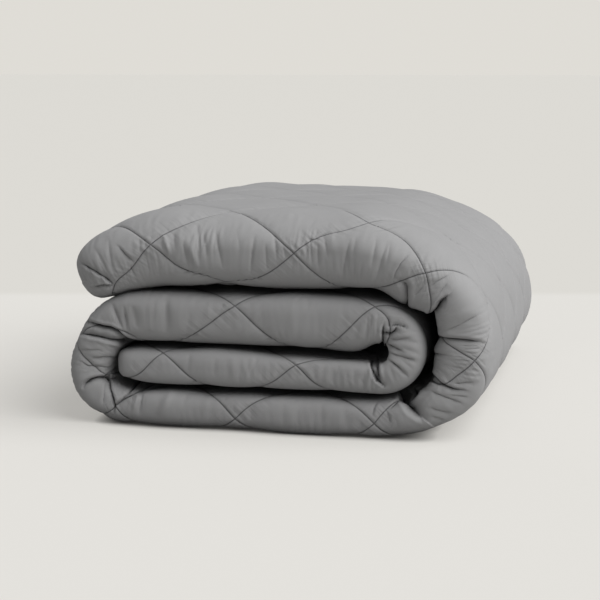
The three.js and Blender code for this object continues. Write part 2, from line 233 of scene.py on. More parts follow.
# Main creases of the front by layer: depth, width, their way in pixels of the photograph, and the side of
# it on which the cloth stands up in a lip
Crease = namedtuple("Crease", "name depth width way lip", defaults=["left"])
CREASES = {
    "free end": [
        Crease("deep", 0.007, 0.002, [(81, 263), (88, 268), (98, 274), (106, 279), (114, 285)], "right"),
        Crease("low", 0.005, 0.0015, [(92, 287), (98, 286), (104, 285), (113, 286)]),
        Crease("by the crossing", 0.003, 0.002, [(119, 247), (126, 255), (133, 261)]),
        Crease("under the crossing", 0.002, 0.0015, [(130, 267), (134, 274)], "right"),
    ],
    "left turn": [
        Crease("shoulder", 0.012, 0.002,
               [(86, 320), (97, 324), (104, 326), (111, 327),
                (118, 331), (124, 337), (129, 340), (150, 344)]),
        Crease("upper", 0.012, 0.0025,
               [(78, 333), (90, 336), (100, 338), (110, 341), (120, 343), (135, 344)], "right"),
        Crease("first soft", 0.0012, 0.002, [(80, 350), (101, 350)]),
        Crease("second soft", 0.0025, 0.0025, [(92, 358), (105, 357), (120, 357)]),
        Crease("third soft", 0.002, 0.002, [(82, 362), (88, 366), (98, 366), (112, 368)]),
        Crease("fan left", 0.011, 0.002,
               [(83, 387), (85, 383), (90, 379), (97, 377), (105, 376), (118, 374)]),
        Crease("hub", 0.006, 0.004, [(101, 378), (108, 377), (118, 375)]),
        Crease("fan down", 0.006, 0.002,
               [(114, 372), (111, 380), (110, 388), (112, 393), (114, 400), (115, 406), (114, 413)]),
        Crease("fan middle", 0.002, 0.0025, [(107, 381), (104, 391), (103, 399), (103, 405)], "right"),
        Crease("fan right", 0.006, 0.002,
               [(146, 374), (137, 383), (128, 393), (121, 400), (114, 406)], "right"),
        Crease("fan far right", 0.005, 0.002,
               [(157, 382), (146, 387), (137, 391), (129, 396), (121, 401)], "right"),
    ],
    "inner turn": [
        Crease("knot edge", 0.009, 0.002, [(381, 347), (382, 339), (382, 332), (383, 326)]),
        Crease("knot loop", 0.009, 0.0018, [(382, 332), (386, 333), (391, 333), (395, 330), (396, 327)]),
        Crease("knot curl", 0.006, 0.0016, [(408, 329), (402, 326), (396, 325), (391, 326)]),
        Crease("knot top", 0.002, 0.0015, [(389, 320), (389, 327)]),
        Crease("first", 0.002, 0.003, [(387, 338), (397, 340), (407, 338), (412, 337)]),
        Crease("second", 0.005, 0.002, [(387, 344), (394, 347), (402, 351)]),
        Crease("third", 0.003, 0.0025, [(389, 352), (396, 355), (406, 358), (416, 360)]),
        Crease("fourth", 0.004, 0.0015, [(389, 360), (398, 366), (403, 371), (408, 376)]),
        Crease("heel", 0.013, 0.0018, [(371, 356), (371, 364), (373, 374), (377, 381), (384, 386)], "right"),
        Crease("second heel", 0.011, 0.002, [(379, 360), (378, 366), (378, 372), (380, 379)]),
    ],
    "lower middle": [
        Crease("right", 0.0012, 0.004, [(361, 374), (363, 384)]),
    ],
    "big turn": [
        Crease("long", 0.007, 0.0025,
               [(420, 333), (432, 335), (444, 338), (458, 339), (470, 340), (482, 342)]),
        Crease("under it", 0.0012, 0.0015, [(463, 346), (480, 346)]),
        Crease("second under it", 0.0012, 0.0015, [(463, 350), (481, 349)]),
        Crease("soft upper", 0.003, 0.006, [(446, 331), (460, 325), (478, 315)]),
        Crease("inside", 0.004, 0.004, [(416, 353), (432, 353), (446, 355)]),
        Crease("low seam", 0.007, 0.002,
               [(414, 358), (424, 367), (432, 374), (440, 382), (447, 386), (455, 389), (464, 390)]),
        Crease("low right", 0.002, 0.003, [(454, 384), (474, 382)]),
        Crease("lobe", 0.005, 0.002, [(408, 388), (414, 382), (424, 379), (432, 381), (440, 385)], "right"),
        Crease("lower", 0.0025, 0.003, [(430, 391), (445, 397), (461, 403)]),
        Crease("beside it", 0.0015, 0.0025, [(450, 395), (468, 397)]),
        Crease("lowest", 0.002, 0.0035, [(430, 408), (440, 411), (452, 413)]),
        Crease("foot", 0.0015, 0.003, [(432, 417), (444, 420)]),
        Crease("hollow", 0.010, 0.003, [(418, 384), (416, 391), (411, 397)]),
        Crease("slope to the pleat", 0.010, 0.010, [(398, 376), (404, 399), (411, 410), (419, 416)], "right"),
        Crease("pleat", 0.018, 0.004,
               [(396, 372), (401, 390), (404, 399), (408, 407), (414, 413), (421, 418)], "right"),
    ],
    "bottom": [
        Crease("notch", 0.005, 0.002, [(402, 388), (398, 400), (394, 405), (388, 410)], "right"),
        Crease("by the crossing", 0.002, 0.0015, [(386, 411), (389, 416), (391, 422)]),
        Crease("left of it", 0.002, 0.0015, [(377, 403), (374, 409), (373, 417)]),
    ],
    "top": [
        Crease("pleat", 0.008, 0.0035, [(400, 280), (405, 283), (407, 286), (407, 300), (407, 314)]),
        Crease("knot", 0.016, 0.003, [(416, 332), (428, 318), (435, 310), (440, 303), (445, 298)]),
        Crease("knot curl", 0.003, 0.0015, [(436, 303), (441, 299), (446, 297), (446, 301)]),
        Crease("over the knot", 0.003, 0.004, [(429, 287), (436, 282), (449, 275)]),
        Crease("above it", 0.002, 0.004, [(439, 293), (447, 284)]),
        Crease("beside the pleat", 0.0015, 0.0035, [(422, 288), (414, 296)]),
        Crease("long", 0.0025, 0.002, [(409, 254), (400, 264), (395, 273), (393, 281)], "right"),
        Crease("short", 0.0012, 0.0015, [(308, 239), (320, 240)]),
    ],
    "upper middle": [
        Crease("by the crossing", 0.0012, 0.0015, [(224, 303), (221, 313)]),
    ],
}

# Section of all creases for each width: how far the trough reaches on both sides, and the lip's height and
# place; then the share of their way on which they fade, how the cloth beside them is drawn in, from which
# slope on it faces the camera enough, and how much they sink away from the camera
CREASE_FAR_SIDE = 1.5
CREASE_LIP_SIDE = 0.5
CREASE_LIP_HEIGHT = 0.12
CREASE_LIP_PLACE = 1.6
CREASE_END_SHARE = 0.3
CREASE_DRAW = 0.75
CREASE_DRAW_REACH = 0.0024
CREASE_FACING = 0.35
CREASE_INWARD = 0.8

# Soft puckers of the front by layer: height, which is negative for a trough, width, and way in pixels
PUCKERS = {
    "free end": [
        (-0.0021, 0.003, [(108, 236), (109, 252), (113, 270)]),
        (-0.0021, 0.003, [(94, 247), (101, 260), (107, 271)]),
        (-0.0018, 0.002, [(139, 237), (140, 253)]),
        (-0.0013, 0.002, [(145, 238), (145, 250)]),
        (-0.0012, 0.0025, [(144, 250), (146, 258), (150, 274)]),
    ],
    "top": [
        (0.0022, 0.003, [(162, 231), (166, 243), (171, 258)]),
        (-0.0015, 0.003, [(173, 230), (175, 252)]),
        (0.0010, 0.004, [(180, 230), (182, 256)]),
        (-0.0021, 0.0035, [(182, 240), (185, 254), (189, 270)]),
        (0.0020, 0.004, [(188, 238), (191, 252), (198, 270)]),
        (-0.0021, 0.003, [(197, 222), (200, 254)]),
        (-0.0018, 0.003, [(203, 230), (207, 258)]),
        (-0.0027, 0.003, [(215, 228), (218, 248), (223, 270)]),
        (-0.0007, 0.004, [(237, 230), (240, 256)]),
        (-0.0027, 0.0025, [(255, 234), (252, 252), (250, 276)]),
        (-0.0018, 0.003, [(265, 242), (267, 272)]),
        (-0.0022, 0.003, [(274, 232), (277, 262)]),
        (-0.0013, 0.002, [(282, 243), (286, 259)]),
        (-0.0018, 0.0025, [(304, 236), (308, 260)]),
        (-0.0018, 0.0025, [(310, 236), (312, 266)]),
        (-0.0022, 0.003, [(317, 238), (318, 270)]),
        (-0.0018, 0.003, [(323, 232), (328, 260)]),
        (0.0008, 0.004, [(332, 224), (332, 254)]),
        (-0.0027, 0.0035, [(350, 238), (346, 254), (342, 276)]),
        (-0.0012, 0.003, [(356, 234), (352, 258)]),
        (-0.0018, 0.003, [(377, 236), (371, 268)]),
        (-0.0027, 0.0035, [(388, 240), (381, 260), (375, 282)]),
        (-0.0015, 0.0025, [(391, 240), (386, 266)]),
    ],
    "upper middle": [
        (-0.005, 0.003, [(111, 302), (116, 314), (122, 330)]),
        (-0.004, 0.003, [(123, 304), (127, 332)]),
        (-0.004, 0.003, [(132, 304), (137, 330)]),
        (-0.005, 0.005, [(166, 294), (166, 338)]),
        (-0.0012, 0.004, [(190, 302), (187, 336)]),
        (0.0008, 0.004, [(210, 300), (205, 328)]),
        (-0.0012, 0.005, [(262, 302), (263, 340)]),
        (0.0008, 0.006, [(291, 298), (291, 346)]),
        (-0.0012, 0.005, [(318, 304), (317, 346)]),
        (0.0010, 0.004, [(374, 304), (374, 342)]),
    ],
    "lower middle": [
        (-0.0015, 0.003, [(190, 348), (187, 374)]),
        (-0.0012, 0.003, [(216, 356), (213, 380)]),
        (0.0010, 0.004, [(232, 350), (233, 386)]),
        (-0.0012, 0.004, [(256, 354), (257, 382)]),
        (0.0008, 0.005, [(316, 358), (313, 386)]),
        (-0.0012, 0.005, [(338, 358), (338, 392)]),
    ],
    "bottom": [
        (0.0024, 0.003, [(138, 391), (134, 404), (130, 418)]),
        (-0.0028, 0.003, [(143, 388), (138, 416)]),
        (0.0024, 0.005, [(174, 387), (166, 402), (158, 416)]),
        (-0.0012, 0.004, [(189, 390), (181, 408)]),
        (0.0008, 0.004, [(208, 394), (203, 416)]),
        (-0.0012, 0.004, [(252, 400), (249, 428)]),
        (0.0008, 0.004, [(291, 400), (288, 432)]),
        (-0.0013, 0.004, [(322, 400), (321, 432)]),
        (-0.0013, 0.004, [(345, 404), (346, 430)]),
    ],
}

# Settling of the cloth on the front fold: how much longer it is along the roll, over which reach across,
# the place at the end of the bottom layer where it stays calm, how the pairs of points hold their distance,
# how the filling holds the cloth, where the roll's outside is free, the sizes of the random patches and
# ripples that it starts from, and the least length that it divides by
SIM_STEPS = 120
SIM_SLACK = 0.022
SLACK_REACH = 0.05
SLACK_MIDDLE = 0.012
SEAM_SLACK = 0.02
SEAM_SLACK_REACH = 0.022
TURN_SLACK = 0.04
TURN_SLACK_MOST = 0.5
CALM_PLACE = 1.335
CALM_REACH = 0.040
SIM_STIFFNESS = {(1, 0): 0.8, (0, 1): 0.8, (1, 1): 0.3, (1, -1): 0.3, (2, 0): 0.3, (4, 0): 0.1}
SIM_FILLING = 0.01
SIM_CAP = 0.007
SEWN_WIDTH = 0.0008
FREE_FOLD = 1.1
FREE_STRETCHES = [(0.750, 1.005), (1.340, 2.100)]
SEED = 7
NOISE_WAVES = 60
PATCH_ALONG = 0.014
PATCH_ACROSS = 0.018
PATCH_MOST = 2.0
RIPPLE_ALONG = 0.0020
RIPPLE_ACROSS = 0.014
RIPPLE_HEIGHT = 0.0005
TINY = 1e-12


def bell(distance):
    """A soft bump that is 1 in its middle and fades out over about twice the unit on both sides."""
    return np.exp(-distance * distance)


def sample_roll():
    """Centre line, heading, half thickness, setback and crown of the roll, sampled along it."""
    along = np.arange(0.0, ROLL_LENGTH + ROLL_STEP, ROLL_STEP)
    ends = np.cumsum([0.0] + [leg.length for leg in ROLL])
    headings = np.cumsum([0.0] + [math.radians(leg.turn) for leg in ROLL])
    between = np.interp(along[:-1] + ROLL_STEP / 2, ends, headings)
    samples = {
        "along": along,
        "heading": np.interp(along, ends, headings),
        "x": ROLL_START_X + np.concatenate([[0.0], np.cumsum(np.cos(between) * ROLL_STEP)]),
        "z": ROLL_START_Z + np.concatenate([[0.0], np.cumsum(np.sin(between) * ROLL_STEP)]),
    }
    width = int(THICKNESS_BLUR / ROLL_STEP)
    kernel = np.hanning(2 * width + 1)
    kernel /= kernel.sum()
    for name in ("half", "inner", "front", "crown"):
        values = np.interp(along, ends, [getattr(leg, name) for leg in [ROLL_START] + ROLL])
        samples[name] = np.convolve(np.pad(values, width, mode="edge"), kernel, mode="valid")
    return samples


ROLL_SAMPLES = sample_roll()


def roll_at(along, name):
    """One of the roll's sampled values at distances along it."""
    return np.interp(along, ROLL_SAMPLES["along"], ROLL_SAMPLES[name])


def along_at(count):
    """Distance along the roll at which a number of diamonds has been passed."""
    last = len(CROSSINGS) - 1
    inside = np.interp(count, np.arange(last + 1), [row.along for row in CROSSINGS])
    return inside + DIAMOND * (np.minimum(count, 0.0) + np.maximum(count - last, 0.0))


def drift_at(count):
    """Drift of the crossings off the front fold."""
    return np.interp(count, np.arange(len(CROSSINGS)), [row.drift for row in CROSSINGS])


def pulled(counts, rows, direction):
    """How far the cloth is pulled in a direction, along or across, at each of the counts and rows."""
    total = np.zeros((len(counts), len(rows)))
    for pull in PULLS:
        away = np.hypot(counts[:, None] - pull.count, rows[None, :] - pull.row) / pull.reach
        total += getattr(pull, direction) * bell(away)
    return total


def across_at(counts, rows):
    """Distance on the cloth from the front fold for each of the counts and rows."""
    share = rows * DIAMOND / HALF_WIDTH
    across = rows[None, :] * DIAMOND + drift_at(counts)[:, None] * (1.0 - share * share)[None, :]
    return across + pulled(counts, rows, "across")


def round_off(distance, reach):
    """0 at an open edge, 1 where its rounding ends, as a quarter circle."""
    rest = 1.0 - np.clip(distance / reach, 0.0, 1.0)
    return np.sqrt(1.0 - rest * rest)


def fold_profile(across, half, depth, power):
    """Where points lie round the front fold, for one column and one side of the fold: their share of the
    half thickness, their share of the fold's depth, and their share of the flat leaf behind it."""
    turn = np.linspace(0.0, math.pi / 2, FOLD_SAMPLES)
    side = np.sin(turn) ** power
    inward = 1.0 - np.cos(turn) ** power
    arc = np.concatenate([[0.0], np.cumsum(np.hypot(np.diff(side * half), np.diff(inward * depth)))])
    flat = np.maximum(0.0, across - arc[-1]) / (HALF_WIDTH - arc[-1])
    return np.interp(across, arc, side), np.interp(across, arc, inward), flat


def duvet_points(counts, rows, is_lining=False):
    """Smooth surface of the duvet on a grid of counts by rows: the cover that shows, or the lining that
    the two leaves have between them."""
    along = along_at(counts)
    crown = roll_at(along, "crown")
    upright = np.sin(roll_at(along, "heading")) ** 2
    outer_power = NOSE_POWER + CROWN_ROUNDING * (crown - 1.0)
    inner_power = NOSE_POWER + INNER_ROUNDING * upright
    across = across_at(counts, rows)
    is_outer = across > 0.0
    half = np.where(is_outer, roll_at(along, "half")[:, None], roll_at(along, "inner")[:, None])
    depth = half * np.where(is_outer, crown[:, None], 1.0)
    power = np.minimum(1.0, np.where(is_outer, outer_power[:, None], inner_power[:, None]))
    side, inward, flat = np.zeros((3,) + across.shape)
    for column in range(len(counts)):
        for mask in (is_outer[column], ~is_outer[column]):
            one_side = [values[column][mask][0] for values in (half, depth, power)]
            found = fold_profile(np.abs(across[column][mask]), *one_side)
            side[column][mask], inward[column][mask], flat[column][mask] = found

    to_free_end = ROLL_LENGTH - along
    full_end = round_off(along, INNER_END_ROUND) * round_off(to_free_end, FREE_END_ROUND)
    full = full_end[:, None] * round_off(HALF_WIDTH - np.abs(rows) * DIAMOND, EDGE_ROUND)[None, :]
    middle = (half + LEAF_GAP / 2) / 2
    if is_lining:
        offset = middle - (middle - LEAF_GAP / 2) * full
    else:
        offset = middle + (half - middle) * full

    corner_pull = INNER_CORNER_ROUND * (1.0 - round_off(along, INNER_CORNER_ROUND))
    corner_pull += FREE_CORNER_ROUND * (1.0 - round_off(to_free_end, FREE_CORNER_ROUND))
    set_back = (roll_at(along, "front") + CORNER_PULL * corner_pull)[:, None]
    fold_depth = set_back + depth * (1.0 - offset / half * (1.0 - inward))
    behind = np.where(flat > 0.0, set_back + depth + (STRIP_DEPTH - set_back - depth) * flat, fold_depth)

    place = along[:, None] + pulled(counts, rows, "along")
    heading = roll_at(place, "heading")
    away = np.sign(across) * offset * side
    x = roll_at(place, "x") + away * np.sin(heading)
    z = np.maximum(0.0, roll_at(place, "z") - away * np.cos(heading) - GROUND_SINK)
    wave = SWAY_HEIGHT_SHARE * np.sin(x / SWAY_LENGTH_WAVE + behind / SWAY_DEPTH_WAVE)
    height = z * (1.0 + wave - BACK_DROP * (behind / STRIP_DEPTH) ** 2)
    sway = SWAY_REACH * np.sin(behind / SWAY_DEPTH_WAVE) * (z / STRIP_DEPTH)
    lean = LEAN * np.sin(behind / STRIP_DEPTH * math.pi / 2) * (1.0 - z / LEAN_HEIGHT)
    return np.stack([x + sway + lean, behind, height], axis=-1) + PLACE


def grid_normals(points):
    """Outward normals of a grid of counts by rows."""
    along_step = np.gradient(points, axis=0)
    row_step = np.gradient(points, axis=1)
    normals = np.cross(row_step, along_step)
    return normals / np.maximum(np.linalg.norm(normals, axis=-1, keepdims=True), TINY)


def seam_distances_at(counts, rows):
    """Distance on the cloth to the nearest sewn line of each of the two families."""
    scale = DIAMOND / math.sqrt(2.0)
    rising = counts + rows
    falling = counts - rows
    return np.abs(rising - np.round(rising)) * scale, np.abs(falling - np.round(falling)) * scale


def quilt_relief(counts, rows):
    """Height of the cover over its smooth surface, never above it: pillows between the sewn lines."""
    first, second = seam_distances_at(counts[:, None], rows[None, :])
    pillow = (1.0 - np.exp(-first / PILLOW_REACH)) * (1.0 - np.exp(-second / PILLOW_REACH))
    groove = bell(np.minimum(first, second) / GROOVE_REACH)
    full = 1.0 - PILLOW_FLATTENING * np.clip(np.abs(rows) / PILLOW_FLAT_ROW, 0.0, 1.0)
    along, across = np.meshgrid(along_at(counts), rows * DIAMOND, indexing="ij")
    dents = smooth_noise(np.random.default_rng(SEED), along, across, DENT_SIZE, DENT_SIZE)
    dented = DENT_DEPTH * (np.tanh(dents) - 1.0) / 2
    return (PILLOW_DEPTH * (pillow - 1.0) - GROOVE_DEPTH * groove) * full[None, :] + dented * pillow


def camera_axes():
    """The camera's directions to its right, upwards and forwards."""
    level = np.array(CAMERA_LEVEL)
    forward = level * math.cos(CAMERA_ELEVATION) - UPRIGHT * math.sin(CAMERA_ELEVATION)
    right = np.cross(level, UPRIGHT)
    return right, np.cross(right, forward), forward


def photo_places(points):
    """Pixels of the photograph at which points show, and the size of a pixel there in metres."""
    right, up, forward = camera_axes()
    away = points - CAMERA_PLACE
    pixel = (away @ forward) / (LENS / SENSOR * PHOTO_SIZE)
    middle = PHOTO_SIZE / 2
    return np.stack([middle + away @ right / pixel, middle - away @ up / pixel], axis=-1), pixel


def measure_way(places, way):
    """Way of each place from its nearest point on a path, the side of the path on which it lies, 1 for
    the right one and -1 for the left one, and its share of the path's length."""
    aside = np.full(places.shape, np.inf)
    side, share = np.zeros((2,) + places.shape[:-1])
    corners = np.array(way, dtype=float)
    lengths = np.linalg.norm(np.diff(corners, axis=0), axis=-1)
    passed = np.concatenate([[0.0], np.cumsum(lengths)])
    nearest = np.full(places.shape[:-1], np.inf)
    for piece, (start, end) in enumerate(zip(corners[:-1], corners[1:])):
        line = end - start
        spot = places - start
        part = np.clip((spot @ line) / (line @ line), 0.0, 1.0)
        off = spot - part[..., None] * line
        distance = np.linalg.norm(off, axis=-1)
        is_nearer = distance < nearest
        nearest = np.where(is_nearer, distance, nearest)
        aside = np.where(is_nearer[..., None], off, aside)
        side = np.where(is_nearer, np.sign(line[0] * spot[..., 1] - line[1] * spot[..., 0]), side)
        share = np.where(is_nearer, (passed[piece] + part * lengths[piece]) / passed[-1], share)
    return aside, side, share


def layer_share(along, layer):
    """1 in the stretch of a layer, 0 outside of it, with a soft change between."""
    first, last = LAYERS[layer]
    return np.clip(np.minimum(along - first, last - along) / LAYER_BLEND, 0.0, 1.0)


def crease_moves(along, rows, points, normals):
    """Moves of the plain cover that crease and pucker it, but not where the outside of the roll turns away
    from the camera. A crease draws the cloth beside it together."""
    right, up, forward = camera_axes()
    places, pixel = photo_places(points)
    facing = np.clip(-(normals @ forward) / CREASE_FACING, 0.0, 1.0)
    facing[:, rows < 0.0] = 1.0
    relief = np.zeros(points.shape[:2])
    drawn = np.zeros(places.shape)
    for layer in LAYERS:
        presence = layer_share(along, layer)
        columns = np.where(presence > 0.0)[0]
        full = presence[columns, None] * facing[columns]
        spots, size = places[columns], pixel[columns]
        for crease in CREASES.get(layer, []):
            aside, side, share = measure_way(spots, crease.way)
            to_end = np.minimum(share, 1.0 - share)
            taper = full * np.clip(to_end / CREASE_END_SHARE + CREASE_END_SHARE, 0.0, 1.0)
            distance = np.linalg.norm(aside, axis=-1) * size
            reach = distance / crease.width
            is_lip_side = side == (1.0 if crease.lip == "right" else -1.0)
            trough = np.exp(-reach / np.where(is_lip_side, CREASE_LIP_SIDE, CREASE_FAR_SIDE))
            lip = CREASE_LIP_HEIGHT * bell(reach - CREASE_LIP_PLACE) * is_lip_side
            relief[columns] += crease.depth * taper * (lip - trough)
            draw = CREASE_DRAW * taper * bell(distance / CREASE_DRAW_REACH) * size
            drawn[columns] -= aside * draw[..., None]
        for height, width, way in PUCKERS.get(layer, []):
            aside, _, share = measure_way(spots, way)
            reach = np.linalg.norm(aside, axis=-1) * size / width
            bulge = np.exp(-reach) if height < 0.0 else bell(reach)
            relief[columns] += height * full * np.sin(math.pi * share) * bulge
    lift = normals - CREASE_INWARD * forward
    lift /= np.linalg.norm(lift, axis=-1, keepdims=True)
    return lift * relief[..., None] + drawn[..., :1] * right - drawn[..., 1:] * up


def is_within(along, stretches):
    """Whether places along the roll lie in one of the stretches."""
    return np.any([(along > start) & (along < end) for start, end in stretches], axis=0)


class Cover:
    """Layout of the cover on the cloth, fine where it shows: its columns and rows, the columns that each
    kind of row keeps, the points in them and the triangles between them."""

    def __init__(self):
        first = -CROSSINGS[0].along / DIAMOND
        last = len(CROSSINGS) - 1 + (ROLL_LENGTH - CROSSINGS[-1].along) / DIAMOND
        first_cell = math.ceil(first * COLUMN_CELLS + HALF_CELL)
        last_cell = math.floor(last * COLUMN_CELLS - HALF_CELL)
        cells = np.arange(first_cell, last_cell + 1)
        is_fine = is_within(along_at(cells / COLUMN_CELLS), FINE_STRETCHES)
        cells = cells[is_fine | (cells % CELL_RATIO == 0)]
        self.counts = np.concatenate([[first], cells / COLUMN_CELLS, [last]])
        self.cells = np.concatenate([[cells[0] - 1], cells, [cells[-1] + 1]])
        self.columns_of = self.choose_columns()
        self.rows, self.kinds = self.make_rows()
        lines = [self.columns_of[kind] for kind in self.kinds]
        sizes = [len(line) for line in lines]
        self.column_of = np.concatenate(lines)
        self.row_of = np.repeat(np.arange(len(lines)), sizes)
        self.ids = np.split(np.arange(len(self.column_of)), np.cumsum(sizes)[:-1])
        self.cover_triangles = self.join_cover()

    def choose_columns(self):
        """Columns that each kind of row keeps: both ends, and the cells that its stride divides."""
        along = along_at(self.counts)
        chosen = {}
        for kind, (stride, hidden_stride, stretches) in KEPT_COLUMNS.items():
            wide = np.where(is_within(along, stretches), stride, hidden_stride)
            is_kept = self.cells % np.maximum(CELL_RATIO * wide, 1) == 0
            is_kept[[0, -1]] = True
            chosen[kind] = np.where(is_kept)[0]
        return chosen

    def make_rows(self):
        """Rows from the open edge of the inner leaf round the front fold to that of the outer leaf."""
        edge_rows = [(HALF_WIDTH - step) / DIAMOND for step in EDGE_STEPS]
        last = edge_rows[-1] * ROW_CELLS - 1
        spans = {
            "hidden": range(-int(last // HIDDEN_STRIDE) * HIDDEN_STRIDE, -FOLD_ROWS, HIDDEN_STRIDE),
            "inner side": range(-FOLD_ROWS, -CORE_ROWS),
            "core": range(-CORE_ROWS, CORE_ROWS + 1),
            "outer side": range(CORE_ROWS + 1, FOLD_ROWS + 1),
            "near": range(FOLD_ROWS + 1, NEAR_ROWS + 1, NEAR_STRIDE),
            "far": range(NEAR_ROWS + FAR_STRIDE, int(last), FAR_STRIDE),
        }
        rows = [(-row, "edge") for row in edge_rows]
        rows += [(row / ROW_CELLS, kind) for kind, span in spans.items() for row in span]
        rows += [(row, "edge") for row in reversed(edge_rows)]
        return np.array([row for row, _ in rows]), [kind for _, kind in rows]

    def fold_rows(self):
        """Rows of the front fold, which are all one cell apart."""
        return np.where(np.abs(self.rows) * ROW_CELLS < FOLD_ROWS + HALF_CELL)[0]

    def join_cover(self):
        """Triangles between all neighbouring rows."""
        triangles = []
        for row, (kind, next_kind) in enumerate(zip(self.kinds[:-1], self.kinds[1:])):
            lower, upper = self.ids[row], self.ids[row + 1]
            if kind == next_kind:
                triangles.append(self.join_alike(row, lower, upper))
            else:
                places = self.columns_of[kind], self.columns_of[next_kind]
                triangles.append(join_unlike(lower, places[0], upper, places[1]))
        return np.concatenate(triangles)

    def join_alike(self, row, lower, upper):
        """Cells between two like rows, each split along the way of the sewn line nearest to it."""
        counts = self.counts[self.columns_of[self.kinds[row]]]
        count = (counts[:-1] + counts[1:]) / 2
        middle = (self.rows[row] + self.rows[row + 1]) / 2
        is_rising = np.abs(np.sin(math.pi * (count - middle))) < np.abs(np.sin(math.pi * (count + middle)))
        low, low_next, high, high_next = lower[:-1], lower[1:], upper[:-1], upper[1:]
        one = np.stack([low, np.where(is_rising, high_next, high), low_next], 1)
        two = np.stack([np.where(is_rising, low, low_next), high, high_next], 1)
        return np.concatenate([one, two])


def join_unlike(lower, lower_places, upper, upper_places):
    """Triangles between two lines of points that lie at different places along them."""
    triangles = []
    low, high = 0, 0
    while low + 1 < len(lower) or high + 1 < len(upper):
        is_low_next = high + 1 == len(upper) or (
            low + 1 < len(lower) and lower_places[low + 1] <= upper_places[high + 1])
        if is_low_next:
            triangles.append((lower[low], upper[high], lower[low + 1]))
            low += 1
        else:
            triangles.append((lower[low], upper[high], upper[high + 1]))
            high += 1
    return np.array(triangles)


def lining_mesh(cover, first_id):
    """Points and triangles of the lining, joined to the cover's border, with their columns and rows."""
    along = along_at(cover.counts)
    is_inside = (along > LINING_INSET) & (along < ROLL_LENGTH - LINING_INSET)
    columns = cover.columns_of["lining"]
    columns = columns[is_inside[columns]]
    border = len(EDGE_STEPS)
    rows = np.arange(border, len(cover.rows) - border)
    rows = rows[np.round(cover.rows[rows] * ROW_CELLS).astype(int) % LINING_STRIDE == 0]
    points = duvet_points(cover.counts[columns], cover.rows[rows], is_lining=True)
    ids = first_id + np.arange(points.shape[0] * points.shape[1]).reshape(points.shape[:2])
    low, low_next, high, high_next = ids[:-1, :-1], ids[1:, :-1], ids[:-1, 1:], ids[1:, 1:]
    halves = [(low, low_next, high_next), (low, high_next, high)]
    inside = [np.stack(half, -1).reshape(-1, 3) for half in halves]

    every_row = np.arange(len(cover.rows))
    starts = np.array([line[0] for line in cover.ids])
    ends = np.array([line[-1] for line in cover.ids])
    edge_columns = cover.columns_of["edge"]
    strips = [
        join_unlike(cover.ids[0], edge_columns, ids[:, 0], columns)[:, ::-1],
        join_unlike(ids[:, -1], columns, cover.ids[-1], edge_columns)[:, ::-1],
        join_unlike(starts, every_row, ids[0], rows),
        join_unlike(ids[-1], rows, ends, every_row),
    ]
    grid_columns, grid_rows = np.meshgrid(columns, rows, indexing="ij")
    return points.reshape(-1, 3), np.concatenate(inside + strips), grid_columns.ravel(), grid_rows.ravel()


def new_mesh_object(name, points, triangles):
    """A smooth-shaded mesh object from arrays."""
    mesh = bpy.data.meshes.new(name)
    mesh.from_pydata(points.tolist(), [], triangles.tolist())
    mesh.shade_smooth()
    thing = bpy.data.objects.new(name, mesh)
    bpy.context.scene.collection.objects.link(thing)
    return thing


def corner_vertices(mesh):
    """The vertex at each corner of a mesh's triangles."""
    corners = np.zeros(len(mesh.loops), dtype=np.int32)
    mesh.loops.foreach_get("vertex_index", corners)
    return corners


def add_uv_map(mesh, name, places):
    """A UV map from one place for each corner of the triangles."""
    layer = mesh.uv_layers.new(name=name)
    layer.uv.foreach_set("vector", places.astype(np.float32).ravel())


def bake_places(quilt_place, corners, cover_count):
    """A flat layout of cover and lining in the unit square, with most room for what shows."""
    first, last = quilt_place[:, 0].min(), quilt_place[:, 0].max()
    edge = HALF_WIDTH / DIAMOND
    low, high = BAKE_LINING
    count, row = quilt_place[corners].T
    along = BAKE_MARGIN + (1.0 - 2 * BAKE_MARGIN) * (count - first) / (last - first)
    cover_across = np.interp(row, *zip(*BAKE_ROWS))
    lining_across = low + (high - low) * (row + edge) / (2 * edge)
    is_lining = np.repeat((corners.reshape(-1, 3) >= cover_count).any(axis=1), 3)
    return np.stack([along, np.where(is_lining, lining_across, cover_across)], axis=-1)


def row_pairs(points, row_step):
    """Rows of a grid, as two slices, whose points are paired over a step of rows."""
    rows = points.shape[1]
    if row_step >= 0:
        return slice(0, rows - row_step), slice(row_step, rows)
    return slice(-row_step, rows), slice(0, rows + row_step)


def grid_lengths(points, step):
    """Distances between the points of a grid that lie one step apart."""
    along_step, row_step = step
    near, far = row_pairs(points, row_step)
    return np.linalg.norm(points[along_step:, far] - points[:len(points) - along_step, near], axis=-1)


def draw_together(points, ease, rest, step, stiffness):
    """Moves neighbouring points of a grid towards their rest distance, in two passes of separate pairs."""
    along_step, row_step = step
    near, far = row_pairs(points, row_step)
    for turn in (0, 1):
        if along_step:
            places = np.arange(len(points) - along_step)
            places = places[(places // along_step) % 2 == turn]
            first, second = (places, near), (places + along_step, far)
            wanted = rest[places]
        else:
            first = slice(None), slice(turn, points.shape[1] - row_step, 2 * row_step)
            second = slice(None), slice(turn + row_step, points.shape[1], 2 * row_step)
            wanted = rest[:, turn::2 * row_step]
        gap = points[second] - points[first]
        length = np.sqrt((gap * gap).sum(-1))
        share = ease[first] + ease[second]
        error = stiffness * (length - wanted) / np.maximum(length * share, TINY)
        points[first] += gap * (error * ease[first])[..., None]
        points[second] -= gap * (error * ease[second])[..., None]


